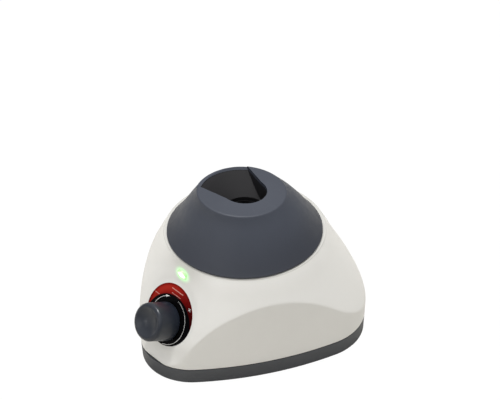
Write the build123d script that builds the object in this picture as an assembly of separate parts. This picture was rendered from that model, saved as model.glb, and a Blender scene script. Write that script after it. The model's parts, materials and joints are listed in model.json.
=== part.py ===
"""Vortex mixer: a rounded three-sided housing with a dome-shaped orbiting head.

Millimetres. Z is up, the origin is on the bench plane under the drive axis,
the control knob faces -Y (the front) and the bench plane is z = 0.
"""

import math
import os

from build123d import *

UP = (0, 0, 1)

# ---------------------------------------------------------------- housing sizes
SOLE = 3.0                 # rubber sole height
TRAY_FLOOR = 11.0          # inner floor of the base tray
BASE_TOP = 15.2            # top edge of the base tray
SEAM = 0.4                 # seam taken up by the seal
HOUSING_BOTTOM = BASE_TOP + SEAM
LEDGE = 86.7               # flat ledge the head hovers over
LEDGE_UNDER = LEDGE - 2.7
WALL = 2.8                 # housing wall, measured horizontally
FRONT_STEP = 3.6           # extra inset of the cavity at the front
FRONT_STEP_Y = -45.0
COLLAR_BORE_R = 41.5       # ring standing round the opening in the ledge

# footprint: three long arcs joined by corner arcs
SIDE_D = 63.15             # side wall distance from the footprint centre
BACK_D = 72.99
SIDE_R = 238.7
BACK_R = 342.9
FRONT_CORNER_R = 36.8
BACK_CORNER_R = 39.95
SIDE_ANGLE = 25.36         # side wall normals, degrees towards -Y
FOOT_Y = -1.59             # footprint centre
LEAN = math.tan(math.radians(3.0))   # walls lean outward going up

# housing profile: height, radius away from the front, inset at the front
HOLLOW = 33.0              # half width of the hollow round the dial, degrees
BELL_POINTS = 16           # spline points round each section
BELL = [
    (12.0, 94.0, 5.0),
    (29.0, 87.1, 5.7),
    (41.0, 81.5, 6.3),
    (53.0, 75.5, 6.4),
    (63.0, 70.2, 6.1),
    (73.0, 64.9, 5.3),
    (81.0, 60.9, 3.3),
    (LEDGE, 57.6, 0.3),
]
NECK_R = BELL[-1][1]

# ---------------------------------------------------------------- drive sizes
SHAFT_R = 4.0
PLATE_BOTTOM, PLATE_TOP = 52.0, 55.0
GROMMET_BOTTOM, GROMMET_TOP = PLATE_BOTTOM - 2.0, PLATE_TOP + 2.0
CAN_R, CAN_BORE_R = 31.0, 28.5
CAN_BOTTOM, CAN_TOP = 16.0, 48.0
STACK_BOTTOM, STACK_TOP = 26.0, 42.0   # stator core and magnets
MAGNET_R, ROTOR_R = 14.1, 11.2
CRANK_R, DISC_R = 11.0, 26.5           # crank body and the disc at its foot
DISC_BOTTOM, DISC_TOP = 58.0, 60.0
SETSCREW_Z = 62.5
BALANCE_SCREW_R = 20.0                 # balance screw distance from the axis
ECC = 2.25                             # crank throw, half of the 4.5 mm orbit
CRANK_ANGLE = -45.0                    # crank direction at rest

BEARING_BOTTOM, BEARING_TOP = 72.0, 79.0
BEARING_MID = (BEARING_BOTTOM + BEARING_TOP) / 2
BEARING_R = 11.0
BALL_CIRCLE_R = 7.5
BALL_COUNT = 8

# ---------------------------------------------------------------- head sizes
HUB_TOP = 83.6
HUB_DISC = 80.0            # underside of the hub disc
LIP = 87.5                 # lower edge of the hood
TOP = 122.7                # top plane of the hood on the head axis
# hood: radius, height, share of the forward shift of each section
HOOD = [
    (55.6, 88.4, 0.0), (52.65, 92.0, 0.0), (49.7, 96.0, 0.0), (46.95, 100.0, 0.01),
    (44.3, 104.0, 0.08), (41.6, 108.0, 0.20), (38.8, 112.0, 0.35), (36.5, 115.0, 0.49),
    (34.25, 118.0, 0.64), (32.2, 121.0, 0.82), (30.4, 124.0, 1.0), (28.8, 127.0, 1.2),
]
SHIFT_X, SHIFT_Y = -0.5, -3.66
SLOPE_X, SLOPE_Y = 0.017, 0.072   # fall of the top plane toward +X and toward the back
BORE_R = 16.4              # mouth of the tube recess
BORE_LOW_R = 16.0          # full-round lower bore
BORE_FLOOR = 88.0
SEAT_H = 4.0               # conical seat at the bottom of the bore
RAMP_BOTTOM = 101.0
# tube notch section: radius, height
RAMP = [(0, RAMP_BOTTOM), (13.5, RAMP_BOTTOM), (31.4, 120.3), (70, 121.0), (70, 140), (0, 140)]
NOTCH_REACH = 60
FLARE = 0.249              # widening of the tube notch per side

# ---------------------------------------------------------------- control sizes
TILT = math.radians(27.13)           # panel tilt from vertical
PANEL = (0.0, -74.44, 42.58)         # knob axis on the panel
PANEL_WALL = 3.2
DIAL_R = 22.6
DIAL_OFF = 5.33
KNOB_R = 13.8
KNOB_L = 20.4
DISH_R = 24.0                        # hollow in the knob's end face
SPINDLE_R = 3.0
BUSH_HOLE_R = 3.55                   # washer and nut bore
PANEL_HOLE_R = 3.6
LED_Z = 76.4                         # centre height of the lamp lens
INLET_Z = 32.0                       # power inlet, through the back wall

BOARD_BOTTOM = 17.0
BOARD_TOP = BOARD_BOTTOM + 1.6
SINK_X, SINK_TOP = 12.0, BOARD_TOP + 20.0
FIN_PITCH, FIN_T = 4.1, 1.6


def polar(radius, *angles):
    """Points on a circle about the drive axis, angles in degrees."""
    return [(radius * math.cos(math.radians(a)), radius * math.sin(math.radians(a)))
            for a in angles]


PIN_X, PIN_Y = polar(ECC, CRANK_ANGLE)[0]
POSTS = [(34.0, 34.0), (-34.0, 34.0), (-34.0, -34.0), (34.0, -34.0)]
HOUSING_SCREWS = [(0.0, -71.5), (53.0, 41.0), (-53.0, 41.0)]
BOARD_POSTS = [(-32.0, 43.5), (32.0, 43.5), (-32.0, 62.5), (32.0, 62.5)]
COVER_SCREWS = polar(21, 0, 90, 180, 270)
HOOD_SCREWS = polar(32.0, 0, 120, 240)
BALANCE_TURNS = [Rot(0, 0, CRANK_ANGLE + 180 + a) for a in (-38, 38)]

panel = Plane(origin=PANEL, x_dir=(1, 0, 0), z_dir=(0, -math.cos(TILT), math.sin(TILT)))
pieces = []


# ---------------------------------------------------------------- helpers
def piece(build):
    """Register a function that builds the piece it is named after."""
    pieces.append(build)
    return build


def rod(radius, z0, z1, x=0.0, y=0.0):
    return Pos(x, y, (z0 + z1) / 2) * Cylinder(radius, z1 - z0)


def ring(outer_r, inner_r, z0, z1):
    return rod(outer_r, z0, z1) - rod(inner_r, z0 - 1, z1 + 1)


def block(x0, x1, y0, y1, z0, z1):
    return Pos((x0 + x1) / 2, (y0 + y1) / 2, (z0 + z1) / 2) * Box(x1 - x0, y1 - y0, z1 - z0)


def hexagon(radius, height):
    return extrude(RegularPolygon(radius, 6), height, dir=UP)


def group(*shapes):
    return Compound([solid for shape in shapes for solid in shape.solids()])


def one(shape):
    """The single solid of a shape, dropping slivers."""
    return max(shape.solids(), key=lambda s: s.volume)


def softened(shape, edges, *radii):
    """Fillet with the first radius that works."""
    for radius in radii:
        # guards against a radius the kernel cannot roll along these edges
        try:
            rounded = fillet(edges, radius)
            if rounded.is_valid:
                return rounded
        except Exception:
            pass
    return shape


def cross_slotted(screw, x, y, z, length, width, depth):
    """Cut a cross slot centred at height z in a screw head."""
    return (screw - Pos(x, y, z) * Box(width, length, depth)
            - Pos(x, y, z) * Box(length, width, depth))


def crossings(center_a, radius_a, center_b, radius_b):
    """The two points where two circles cross."""
    dx, dy = center_b[0] - center_a[0], center_b[1] - center_a[1]
    gap = math.hypot(dx, dy)
    along = (gap * gap + radius_a * radius_a - radius_b * radius_b) / (2 * gap)
    across = math.sqrt(radius_a * radius_a - along * along)
    ux, uy = dx / gap, dy / gap
    foot_x, foot_y = center_a[0] + ux * along, center_a[1] + uy * along
    return [(foot_x - side * uy * across, foot_y + side * ux * across) for side in (1, -1)]


def footprint(offset, z):
    """Rounded three-sided outline, moved outward by offset, at height z."""
    angle = math.radians(SIDE_ANGLE)
    reach = SIDE_R - SIDE_D
    right = (-math.cos(angle) * reach, math.sin(angle) * reach)   # centre of the +X side arc
    left = (-right[0], right[1])
    back = (0.0, -(BACK_R - BACK_D))
    front_corner = min(
        crossings(right, SIDE_R - FRONT_CORNER_R, left, SIDE_R - FRONT_CORNER_R),
        key=lambda p: p[1])
    right_corner = max(
        crossings(right, SIDE_R - BACK_CORNER_R, back, BACK_R - BACK_CORNER_R),
        key=lambda p: p[0])
    left_corner = (-right_corner[0], right_corner[1])

    def bearing(center, point):
        return math.atan2(point[1] - center[1], point[0] - center[0])

    def arc(center, radius, start, end):
        radius += offset
        return ThreePointArc(*[
            Vector(center[0] + radius * math.cos(t), center[1] + radius * math.sin(t) + FOOT_Y, z)
            for t in (start, (start + end) / 2, end)])

    to_front = bearing(right, front_corner)
    to_back = bearing(right, right_corner)
    back_end = bearing(back, right_corner)
    return Face(Wire([
        arc(front_corner, FRONT_CORNER_R, -math.pi - to_front, to_front),
        arc(right, SIDE_R, to_front, to_back),
        arc(right_corner, BACK_CORNER_R, to_back, back_end),
        arc(back, BACK_R, back_end, math.pi - back_end),
        arc(left_corner, BACK_CORNER_R, math.pi - back_end, math.pi - to_back),
        arc(left, SIDE_R, math.pi - to_back, math.pi - to_front),
    ]))


def footprint_band(outer_offset, inner_offset, z, height):
    """Flat band following the footprint."""
    return (extrude(footprint(outer_offset, z), height, dir=UP)
            - extrude(footprint(inner_offset, z - 1), height + 2, dir=UP))


def walls(offset, z0, z1):
    """Three-sided prism whose walls lean outward going up."""
    sections = [footprint(offset + (z - SOLE) * LEAN, z) for z in (z0, z1)]
    return loft(sections, ruled=True)


def bell():
    """Smooth upper body of the housing, hollowed at the front."""
    faces = []
    for z, radius, inset in BELL:
        points = []
        for k in range(BELL_POINTS):
            turn = 2 * math.pi * k / BELL_POINTS
            from_front = abs((math.degrees(turn) + 90 + 180) % 360 - 180)
            share = 0.0
            if from_front < HOLLOW:
                share = math.cos(math.radians(from_front * 90 / HOLLOW)) ** 2
            r = radius - inset * share
            points.append(Vector(r * math.cos(turn), r * math.sin(turn), z))
        faces.append(Face(Wire([Spline(*points, periodic=True)])))
    return loft(faces)


def on_panel(shape):
    return panel.location * shape


def on_head(shape):
    return Pos(PIN_X, PIN_Y, 0) * shape


def facing_back(shape, y, z=INLET_Z):
    """Turn a shape's axis from Z to Y and place it on the centre plane."""
    return Pos(0, y, z) * Rot(-90, 0, 0) * shape


def along_throw(shape, distance):
    """Turn a shape's axis to the crank throw, at the setscrew height."""
    return Rot(0, 0, CRANK_ANGLE) * (Pos(distance, 0, SETSCREW_Z) * Rot(0, 90, 0) * shape)


def wire_path(radius, bend, *points):
    """Round cable along straight runs joined by bends."""
    path = FilletPolyline(*points, radius=bend)
    section = Plane(origin=path @ 0, z_dir=path % 0) * Circle(radius)
    return sweep(section, path=path)


# ---------------------------------------------------------------- sole and base
@piece
def sole():
    return footprint_band(-4.5, -13.0, 0.0, SOLE)


@piece
def base_tray():
    base = walls(0.0, SOLE, BASE_TOP)
    base = softened(base, base.faces().sort_by(Axis.Z)[0].edges(), 1.0, 0.6)
    base = base - walls(-5.0, TRAY_FLOOR, BASE_TOP + 1.0)
    for x, y in BOARD_POSTS:
        base = base + rod(3.2, 10.0, BOARD_BOTTOM, x, y) - rod(1.35, 8.0, BOARD_BOTTOM + 1, x, y)
    for x, y in POSTS:
        base = base - rod(2.55, 6.0, 12.0, x, y)
    for x, y in HOUSING_SCREWS:
        base = base - rod(2.2, 2.0, 12.0, x, y) - rod(4.0, 2.0, 7.0, x, y)
    # shallow grooves under the base
    for y in (-30, -15, 0, 15, 30):
        base = base - block(-20, 20, y - 1.5, y + 1.5, 2.0, 4.5)
    return one(base)


@piece
def housing_seal():
    return footprint_band(-1.6, -3.6, BASE_TOP, SEAM)


# ---------------------------------------------------------------- housing
def cavity_turned(extra_inset):
    """Turned cavity following the bell, inset further by extra_inset."""
    inset = WALL + extra_inset
    profile = [(0, 10.0), (BELL[0][1] - inset + 0.9, 10.0)]
    profile += [(r - inset, z) for z, r, _ in BELL[1:-1]]
    profile += [(NECK_R - inset - 0.6, LEDGE_UNDER), (0, LEDGE_UNDER)]
    return revolve(make_face(Polyline(*[(r, 0, z) for r, z in profile], close=True)), Axis.Z)


def housing_cavity():
    inner = cavity_turned(0) & block(-120, 120, FRONT_STEP_Y, 120, 0, 120)
    # the front of the cavity steps in, under the hollowed front of the bell
    inner = inner + (cavity_turned(FRONT_STEP) & block(-120, 120, -120, FRONT_STEP_Y, 0, 120))
    inner = inner & walls(-WALL, 8.0, 92.0)
    # keep a wall behind the panel, and in front of the neck above z = 66
    neck_front = -(NECK_R - 3.4)
    behind_panel = on_panel(Pos(0, 0, -PANEL_WALL - 120.0) * Box(300, 300, 240.0))
    limit = behind_panel & block(-120, 120, neck_front, 120, 0, 120)
    limit = limit + (behind_panel & block(-120, 120, -120, neck_front, 0, 66.0))
    return one(inner & limit)


@piece
def upper_housing():
    outer = bell() & walls(0.0, 8.0, 92.0)
    outer = one(outer & block(-110, 110, -110, 110, HOUSING_BOTTOM, 92.0))
    shell = softened(outer, outer.faces().sort_by(Axis.Z)[-1].edges(), 1.0, 0.6)

    # pad behind the dial, added before the cavity is cut
    pad = on_panel(Pos(0, DIAL_OFF, -1.9) * Cylinder(DIAL_R + 1.0, 3.8))
    shell = shell + (pad & block(-60, 60, -120, 0, 20, 84))
    shell = shell - housing_cavity()
    # pad round the power inlet
    shell = shell + facing_back(Cylinder(8.5, 3.4), 70.9)
    # collar and opening in the ledge
    shell = shell + ring(44.0, COLLAR_BORE_R, LEDGE_UNDER, 96.0)
    shell = shell - rod(COLLAR_BORE_R, LEDGE_UNDER - 1, LEDGE + 1)

    # screw posts, each with a rib running out to the wall
    for x, y in HOUSING_SCREWS:
        top = 26.0 if y < 0 else 34.0
        angle = math.degrees(math.atan2(y, x))
        rib = block(math.hypot(x, y), 96, -1.3, 1.3, HOUSING_BOTTOM, top - 2)
        rib = Rot(0, 0, angle) * rib
        shell = shell + (rod(4.6, HOUSING_BOTTOM, top, x, y) + (rib & outer))
        shell = shell - rod(1.75, HOUSING_BOTTOM - 1, top - 1.4, x, y)
    # two tabs under the ledge at the lamp board
    for x in (-7.0, 7.0):
        shell = shell + block(x - 1.4, x + 1.4, -50.4, -47.2, 76.5, LEDGE_UNDER + 0.5)

    # dial seat, control hole and the slot below it
    shell = shell - on_panel(Pos(0, DIAL_OFF, 4.4) * Cylinder(DIAL_R + 0.15, 10.0))
    shell = shell - on_panel(Cylinder(PANEL_HOLE_R, 30.0))
    shell = shell - on_panel(Pos(0, -8.6, -2.0) * Box(1.8, 2.6, 6.0))
    lens_cut = Pos(0, -57.0, LED_Z) * Box(9.2, 14.0, 4.6)
    shell = shell - fillet(lens_cut.edges().filter_by(Axis.Y), 1.3)
    # inlet hole and its outer recess
    shell = shell - facing_back(Cylinder(5.6, 20), 71)
    shell = shell - facing_back(Cylinder(8.2, 10), 77.4)
    return one(shell)


@piece
def housing_screws():
    screws = []
    for x, y in HOUSING_SCREWS:
        top = 24.0 if y < 0 else 30.0
        screw = rod(3.7, 3.8, 7.0, x, y) + rod(1.7, 6.0, top, x, y)
        screws.append(cross_slotted(screw, x, y, 4.3, 5.0, 1.0, 1.4))
    return group(*screws)


# ---------------------------------------------------------------- motor
@piece
def motor_standoffs():
    return group(*[
        Pos(x, y, TRAY_FLOOR) * hexagon(5.2, GROMMET_BOTTOM - TRAY_FLOOR)
        + rod(2.5, 6.5, 12.0, x, y) - rod(2.05, 38.0, 51.0, x, y)
        for x, y in POSTS])


@piece
def motor_grommets():
    grommets = []
    for x, y in POSTS:
        grommet = rod(7.0, GROMMET_BOTTOM, PLATE_BOTTOM, x, y)
        grommet = grommet + rod(4.6, GROMMET_BOTTOM, GROMMET_TOP, x, y)
        grommet = grommet + rod(7.0, PLATE_TOP, GROMMET_TOP, x, y)
        grommets.append(grommet - rod(2.3, GROMMET_BOTTOM - 1, GROMMET_TOP + 1, x, y))
    return group(*grommets)


@piece
def motor_plate_screws():
    screws = []
    for x, y in POSTS:
        screw = rod(5.0, GROMMET_TOP, 58.0, x, y) + rod(3.6, 58.0, 60.6, x, y)
        screw = screw + rod(2.0, 40.0, 58.0, x, y)
        screws.append(cross_slotted(screw, x, y, 60.2, 5.0, 1.0, 1.6))
    return group(*screws)


@piece
def motor_plate():
    plate = extrude(RectangleRounded(84, 84, 13), PLATE_TOP - PLATE_BOTTOM, dir=UP)
    plate = Pos(0, 0, PLATE_BOTTOM) * plate
    holes = [(4.6, x, y) for x, y in POSTS] + [(9.0, 0, 0)]
    holes += [(1.7, x, y) for x, y in COVER_SCREWS]
    for radius, x, y in holes:
        plate = plate - rod(radius, PLATE_BOTTOM - 1, PLATE_TOP + 1, x, y)
    return one(plate)


@piece
def motor_can():
    can = rod(CAN_R, CAN_BOTTOM, CAN_TOP)
    can = softened(can, can.edges().filter_by(GeomType.CIRCLE).sort_by(Axis.Z)[:1], 2.0)
    can = can - rod(CAN_BORE_R, CAN_BOTTOM + 2, CAN_TOP + 1) - rod(6.6, 15.0, 19.0)
    # window for the motor leads
    return one(can - Pos(0, 29.5, 36.0) * Box(14.0, 8.0, 5.0))


@piece
def motor_cover():
    cover = rod(CAN_R, CAN_TOP, PLATE_BOTTOM) + rod(CAN_BORE_R, 46.5, CAN_TOP)
    cover = cover + rod(8.9, PLATE_BOTTOM, 54.5)
    cover = cover - rod(24.0, 45.0, 48.5) + rod(10.0, 46.0, 49.0) - rod(6.5, 45.0, 56.0)
    for x, y in COVER_SCREWS:
        cover = cover - rod(1.45, 47.5, 53.0, x, y)
    return one(cover)


@piece
def motor_screws():
    return group(*[
        cross_slotted(rod(2.8, PLATE_TOP, 57.2, x, y) + rod(1.4, 49.0, 56.0, x, y),
                      x, y, 56.9, 4.0, 0.8, 1.4)
        for x, y in COVER_SCREWS])


@piece
def bushing_upper():
    return ring(6.5, SHAFT_R + 0.03, 46.0, 54.0)


@piece
def bushing_lower():
    bore = SHAFT_R + 0.03
    return one(ring(6.6, bore, CAN_BOTTOM, 22.0) + ring(9.0, bore, 18.0, 20.0))


@piece
def stator_core():
    stator = ring(CAN_BORE_R, 24.0, STACK_BOTTOM, STACK_TOP)
    for k in range(6):
        tooth = block(15.0, 25.0, -3.2, 3.2, STACK_BOTTOM, STACK_TOP)
        tip = ring(16.8, 14.6, STACK_BOTTOM, STACK_TOP) & block(0, 30, -6.2, 6.2, 20, 50)
        stator = stator + Rot(0, 0, 60 * k + 30) * (tooth + tip)
    return one(stator)


@piece
def stator_windings():
    windings = []
    for k in range(6):
        coil = block(17.2, 23.0, -5.6, 5.6, 23.6, 44.4) - block(16, 25, -3.4, 3.4, 25.8, 42.2)
        levels = coil.edges().filter_by(Axis.X).group_by(Axis.Z)
        coil = fillet(levels[0] + levels[-1], 1.6)
        windings.append(Rot(0, 0, 60 * k + 30) * coil)
    return group(*windings)


# ---------------------------------------------------------------- rotor and crank
@piece
def motor_shaft():
    shaft = rod(SHAFT_R, 16.6, 66.0)
    return one(softened(shaft, shaft.edges().filter_by(GeomType.CIRCLE), 0.5))


@piece
def rotor_core():
    return ring(ROTOR_R, SHAFT_R, 24.5, 43.5)


@piece
def rotor_magnets():
    """Four quarter rings with narrow gaps between them."""
    magnet = ring(MAGNET_R, ROTOR_R, STACK_BOTTOM, STACK_TOP)
    magnets = []
    for k in range(4):
        turn = Rot(0, 0, 90 * k)
        quarter = magnet & turn * block(0, 30, 0, 30, 20, 50)
        quarter = quarter - turn * block(0, 30, -0.25, 0.25, 20, 50)
        quarter = quarter - turn * block(-0.25, 0.25, 0, 30, 20, 50)
        magnets.append(quarter)
    return group(*magnets)


@piece
def crank():
    body = rod(CRANK_R, DISC_BOTTOM, 70.0) + rod(DISC_R, DISC_BOTTOM, DISC_TOP)
    body = body - rod(SHAFT_R, 57.0, 66.0)
    # offset pin, its shoulder and its threaded hole
    body = body + rod(SHAFT_R, 69.0, 80.0, PIN_X, PIN_Y) + rod(6.0, 69.0, 71.9, PIN_X, PIN_Y)
    body = body - rod(1.65, 72.0, 81.0, PIN_X, PIN_Y)
    body = body - along_throw(Cylinder(2.0, 8.2), 8.0)
    for turn in BALANCE_TURNS:
        body = body - turn * rod(2.0, DISC_BOTTOM - 1, DISC_TOP + 1, BALANCE_SCREW_R)
    return one(body)


@piece
def crank_setscrew():
    screw = along_throw(Cylinder(1.95, 6.4), 7.3)
    socket = extrude(RegularPolygon(1.1, 6), 2.4, both=True)
    return one(screw - along_throw(socket, 10.2))


@piece
def counterweight():
    """Quarter ring opposite the crank throw."""
    wedge = extrude(Polygon((0, 0), (60, -60), (60, 60), align=None), 20, both=True)
    wedge = Rot(0, 0, CRANK_ANGLE + 180) * (Pos(0, 0, 63) * wedge)
    sector = ring(DISC_R, CRANK_R, DISC_TOP, 66.5) & wedge
    for turn in BALANCE_TURNS:
        sector = sector - turn * rod(2.0, 59.0, 67.0, BALANCE_SCREW_R)
        sector = sector - turn * rod(3.6, 64.6, 68.0, BALANCE_SCREW_R)
    return one(sector)


@piece
def balance_screws():
    screw = rod(3.4, 64.6, 66.2, BALANCE_SCREW_R) + rod(1.95, 58.3, 65.0, BALANCE_SCREW_R)
    screw = screw - Pos(BALANCE_SCREW_R, 0, 66.0) * Box(4.6, 0.9, 1.2)
    return group(*[turn * screw for turn in BALANCE_TURNS])


# ---------------------------------------------------------------- head bearing
def bearing_race(outer_r, inner_r):
    groove = Pos(0, 0, BEARING_MID) * Torus(BALL_CIRCLE_R, 2.02)
    return on_head(ring(outer_r, inner_r, BEARING_BOTTOM, BEARING_TOP) - groove)


@piece
def bearing_inner_race():
    return bearing_race(6.0, SHAFT_R)


@piece
def bearing_outer_race():
    return bearing_race(BEARING_R, 9.0)


@piece
def bearing_balls():
    return on_head(group(*[
        Rot(0, 0, k * 360 / BALL_COUNT) * (Pos(BALL_CIRCLE_R, 0, BEARING_MID) * Sphere(1.98))
        for k in range(BALL_COUNT)]))


@piece
def bearing_shields():
    return on_head(group(*[
        ring(8.95, 6.1, z, z + 0.4) for z in (BEARING_BOTTOM + 0.3, BEARING_TOP - 0.7)]))


@piece
def pin_screw():
    screw = rod(5.2, 80.0, 80.8) + rod(3.4, 80.8, 83.2) + rod(1.6, 73.0, 81.0)
    socket = Pos(0, 0, 82.6) * extrude(RegularPolygon(1.5, 6), 1.5, both=True)
    return on_head(one(screw - socket))


# ---------------------------------------------------------------- head
def hood_solid(inset, drop, low):
    """Sections that shift forward with height, cut by the sloping top plane."""
    body = rod(HOOD[0][0] - inset, low, HOOD[0][1])
    body = body + loft([
        Pos(SHIFT_X * share, SHIFT_Y * share, z) * Circle(r - inset) for r, z, share in HOOD])
    top = Plane(origin=(0, 0, TOP - drop), z_dir=(SLOPE_X, SLOPE_Y, 1.0))
    return one(body - top * Pos(0, 0, 50) * Box(300, 300, 100))


def notch(extra):
    """Upright prism of the tube notch, opening out toward -X."""
    near = BORE_R + extra
    far = near + NOTCH_REACH * FLARE
    outline = [(0, -near), (0, near), (-NOTCH_REACH, far), (-NOTCH_REACH, -far)]
    return Pos(0, 0, 80) * extrude(make_face(Polyline(*outline, close=True)), 70)


def notch_ramp():
    """Notch cut whose floor rises away from the bore."""
    section = make_face(Plane.XZ * Polyline(*RAMP, close=True))
    return revolve(section, Axis.Z) & notch(0.0)


@piece
def head_hub():
    hub = rod(15.0, 71.0, HUB_DISC) + rod(38.0, HUB_DISC, HUB_TOP)
    hub = hub - rod(BEARING_R, 70.0, BEARING_TOP) - rod(8.6, 78.0, 85.0)
    for x, y in HOOD_SCREWS:
        hub = hub - rod(1.8, 79.0, 85.0, x, y)
    for angle in (60, 180, 300):
        hub = hub - Rot(0, 0, angle) * rod(7.0, 79.0, 85.0, 27.0)
    widest = hub.edges().filter_by(GeomType.CIRCLE).group_by(SortBy.RADIUS)[-1]
    return on_head(one(softened(hub, widest, 0.6)))


@piece
def hood():
    outer = hood_solid(0.0, 0.0, LIP)
    inner = hood_solid(2.9, 3.0, LIP - 2.0)
    crown = outer.faces().sort_by(Axis.Z)[-1].outer_wire().edges()
    outer = softened(outer, crown, 1.4, 1.0, 0.6)
    shell = outer - inner
    # screw posts inside the hood
    for x, y in HOOD_SCREWS:
        post_room = outer & block(-80, 80, -80, 80, HUB_TOP, 119.5)
        shell = shell + (rod(4.2, HUB_TOP, 120.5, x, y) & post_room)
    for x, y in HOOD_SCREWS:
        shell = shell - rod(1.55, 83.0, 97.0, x, y)
    return on_head(one(shell - notch_ramp() - rod(BORE_R, 110, 140)))


@piece
def tube_cup():
    cup = rod(21.6, HUB_TOP, TOP) + (notch(3.0) & block(-40, 0, -40, 40, 97.0, TOP))
    cup = cup & hood_solid(3.2, 3.0, LIP - 8.0)
    cup = cup - rod(BORE_R, RAMP_BOTTOM, 140) - rod(BORE_LOW_R, BORE_FLOOR + SEAT_H, 102.0)
    cup = cup - notch_ramp()
    for x, y in HOOD_SCREWS:
        cup = cup - rod(4.4, 83.0, 130.0, x, y)
    seat = Cone(9.0, BORE_LOW_R, SEAT_H, align=(Align.CENTER, Align.CENTER, Align.MIN))
    cup = cup - Pos(0, 0, BORE_FLOOR) * seat
    return on_head(one(cup - rod(9.4, 83.0, 84.6)))


@piece
def hood_screws():
    return on_head(group(*[
        cross_slotted(rod(3.0, 77.8, HUB_DISC, x, y) + rod(1.5, 79.0, 94.0, x, y),
                      x, y, 78.0, 4.2, 0.8, 1.4)
        for x, y in HOOD_SCREWS]))


# ---------------------------------------------------------------- control panel
@piece
def dial_plate():
    dial = Pos(0, DIAL_OFF, -0.2) * Cylinder(DIAL_R, 0.8)
    dial = softened(dial, dial.edges().group_by(Axis.Z)[-1], 0.25)
    return on_panel(one(dial - Cylinder(PANEL_HOLE_R, 10)))


@piece
def control_pot():
    pot = Pos(0, 0, -8.4) * Cylinder(8.5, 8.0) + Pos(0, 0, -1.0) * Cylinder(3.5, 8.0)
    pot = pot + Pos(0, -8.6, -3.3) * Box(1.6, 2.4, 2.4) + Pos(0, -8.0, -9.0) * Box(14.0, 3.0, 3.0)
    return on_panel(one(pot - Cylinder(SPINDLE_R + 0.05, 15.0)))


@piece
def pot_terminals():
    return group(*[
        on_panel(Pos(x, -10.75, -9.0) * Box(1.2, 2.5, 0.6)) for x in (-5.0, 0.0, 5.0)])


@piece
def pot_washer():
    return on_panel(Pos(0, 0, 0.5) * (Cylinder(6.0, 0.6) - Cylinder(BUSH_HOLE_R, 2.0)))


@piece
def pot_nut():
    return on_panel(one(Pos(0, 0, 0.8) * hexagon(5.6, 2.0) - Cylinder(BUSH_HOLE_R, 20)))


@piece
def pot_spindle():
    return on_panel(one(Pos(0, 0, 3.4) * Cylinder(SPINDLE_R, 20.0)))


@piece
def speed_knob():
    knob = Pos(0, 0, 1.0) * Cone(KNOB_R + 0.25, KNOB_R - 0.15, KNOB_L - 1.0,
                                 align=(Align.CENTER, Align.CENTER, Align.MIN))
    knob = softened(knob, knob.edges().group_by(Axis.Z)[-1], 3.0, 2.5, 2.0)
    knob = softened(knob, knob.edges().group_by(Axis.Z)[0], 0.8, 0.5)
    # dished end face with a soft rim
    knob = knob - Pos(0, 0, KNOB_L - 2.3 + DISH_R) * Sphere(DISH_R)
    rim = knob.edges().filter_by(GeomType.CIRCLE).group_by(Axis.Z)[-1]
    knob = softened(knob, rim, 1.2, 0.8, 0.5)
    # room for the nut and the insert, and a ring groove in the panel side
    knob = knob - Pos(0, 0, 2.0) * Cylinder(7.6, 4.0) - Pos(0, 0, 7.0) * Cylinder(5.0, 14.2)
    knob = knob - (Pos(0, 0, 2.6) * (Cylinder(12.2, 5.0) - Cylinder(9.2, 6.0)))
    return on_panel(one(knob))


@piece
def knob_insert():
    insert = Pos(0, 0, 9.0) * Cylinder(5.0, 10.0) - Pos(0, 0, 8.5) * Cylinder(SPINDLE_R, 10.0)
    return on_panel(one(insert))


# ---------------------------------------------------------------- indicator light
@piece
def led_lens():
    lens = Pos(0, -56.2, LED_Z) * Box(9.0, 6.8, 4.4)
    lens = fillet(lens.edges().filter_by(Axis.Y), 1.2)
    return one(softened(lens, lens.faces().sort_by(Axis.Y)[0].edges(), 0.5, 0.3))


@piece
def led_lamp():
    lamp = Pos(0, -50.8, LED_Z) * Rot(90, 0, 0) * Cylinder(1.9, 2.6)
    return one(lamp + Pos(0, -48.4, LED_Z) * Box(4.6, 2.4, 4.2))


@piece
def led_board():
    return one(block(-9.0, 9.0, -47.2, -45.6, 73.5, 83.4))


# ---------------------------------------------------------------- electronics
@piece
def control_board():
    board = block(-36.5, 36.5, 40.5, 66.0, BOARD_BOTTOM, BOARD_TOP)
    board = board & extrude(footprint(-4.6, BOARD_BOTTOM - 5), 20, dir=UP)
    for x, y in BOARD_POSTS:
        board = board - rod(1.6, 15, 20, x, y)
    return one(board)


@piece
def board_screws():
    screws = []
    for x, y in BOARD_POSTS:
        screw = rod(2.7, BOARD_TOP, BOARD_TOP + 1.9, x, y) + rod(1.3, 9.0, BOARD_TOP + 1.0, x, y)
        screws.append(screw - Pos(x, y, BOARD_TOP + 1.7) * Box(0.7, 3.8, 1.2))
    return group(*screws)


@piece
def capacitors():
    cans = [rod(5.0, BOARD_TOP, BOARD_TOP + 16.0, x, 54.0) for x in (-20.2, -9.8)]
    return group(*[fillet(can.edges().group_by(Axis.Z)[-1], 0.7) for can in cans])


@piece
def heat_sink():
    sink = block(SINK_X, 30.0, 52.0, 55.0, BOARD_TOP, SINK_TOP)
    for k in range(5):
        x = SINK_X + k * FIN_PITCH
        sink = sink + block(x, x + FIN_T, 54.0, 60.0, BOARD_TOP, SINK_TOP)
    return one(sink)


@piece
def power_transistor():
    body = block(16.0, 26.0, 48.4, 52.0, BOARD_TOP + 4.0, BOARD_TOP + 13.0)
    for x in (18.4, 21.0, 23.6):
        body = body + block(x - 0.4, x + 0.4, 49.6, 50.2, BOARD_TOP, BOARD_TOP + 4.5)
    return one(body)


def on_board(x0, x1, y0, y1, height):
    return block(x0, x1, y0, y1, BOARD_TOP, BOARD_TOP + height)


@piece
def control_chips():
    return group(on_board(-2.0, 5.0, 42.0, 49.0, 1.3), on_board(-24.0, -19.0, 43.0, 47.0, 1.5))


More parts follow.
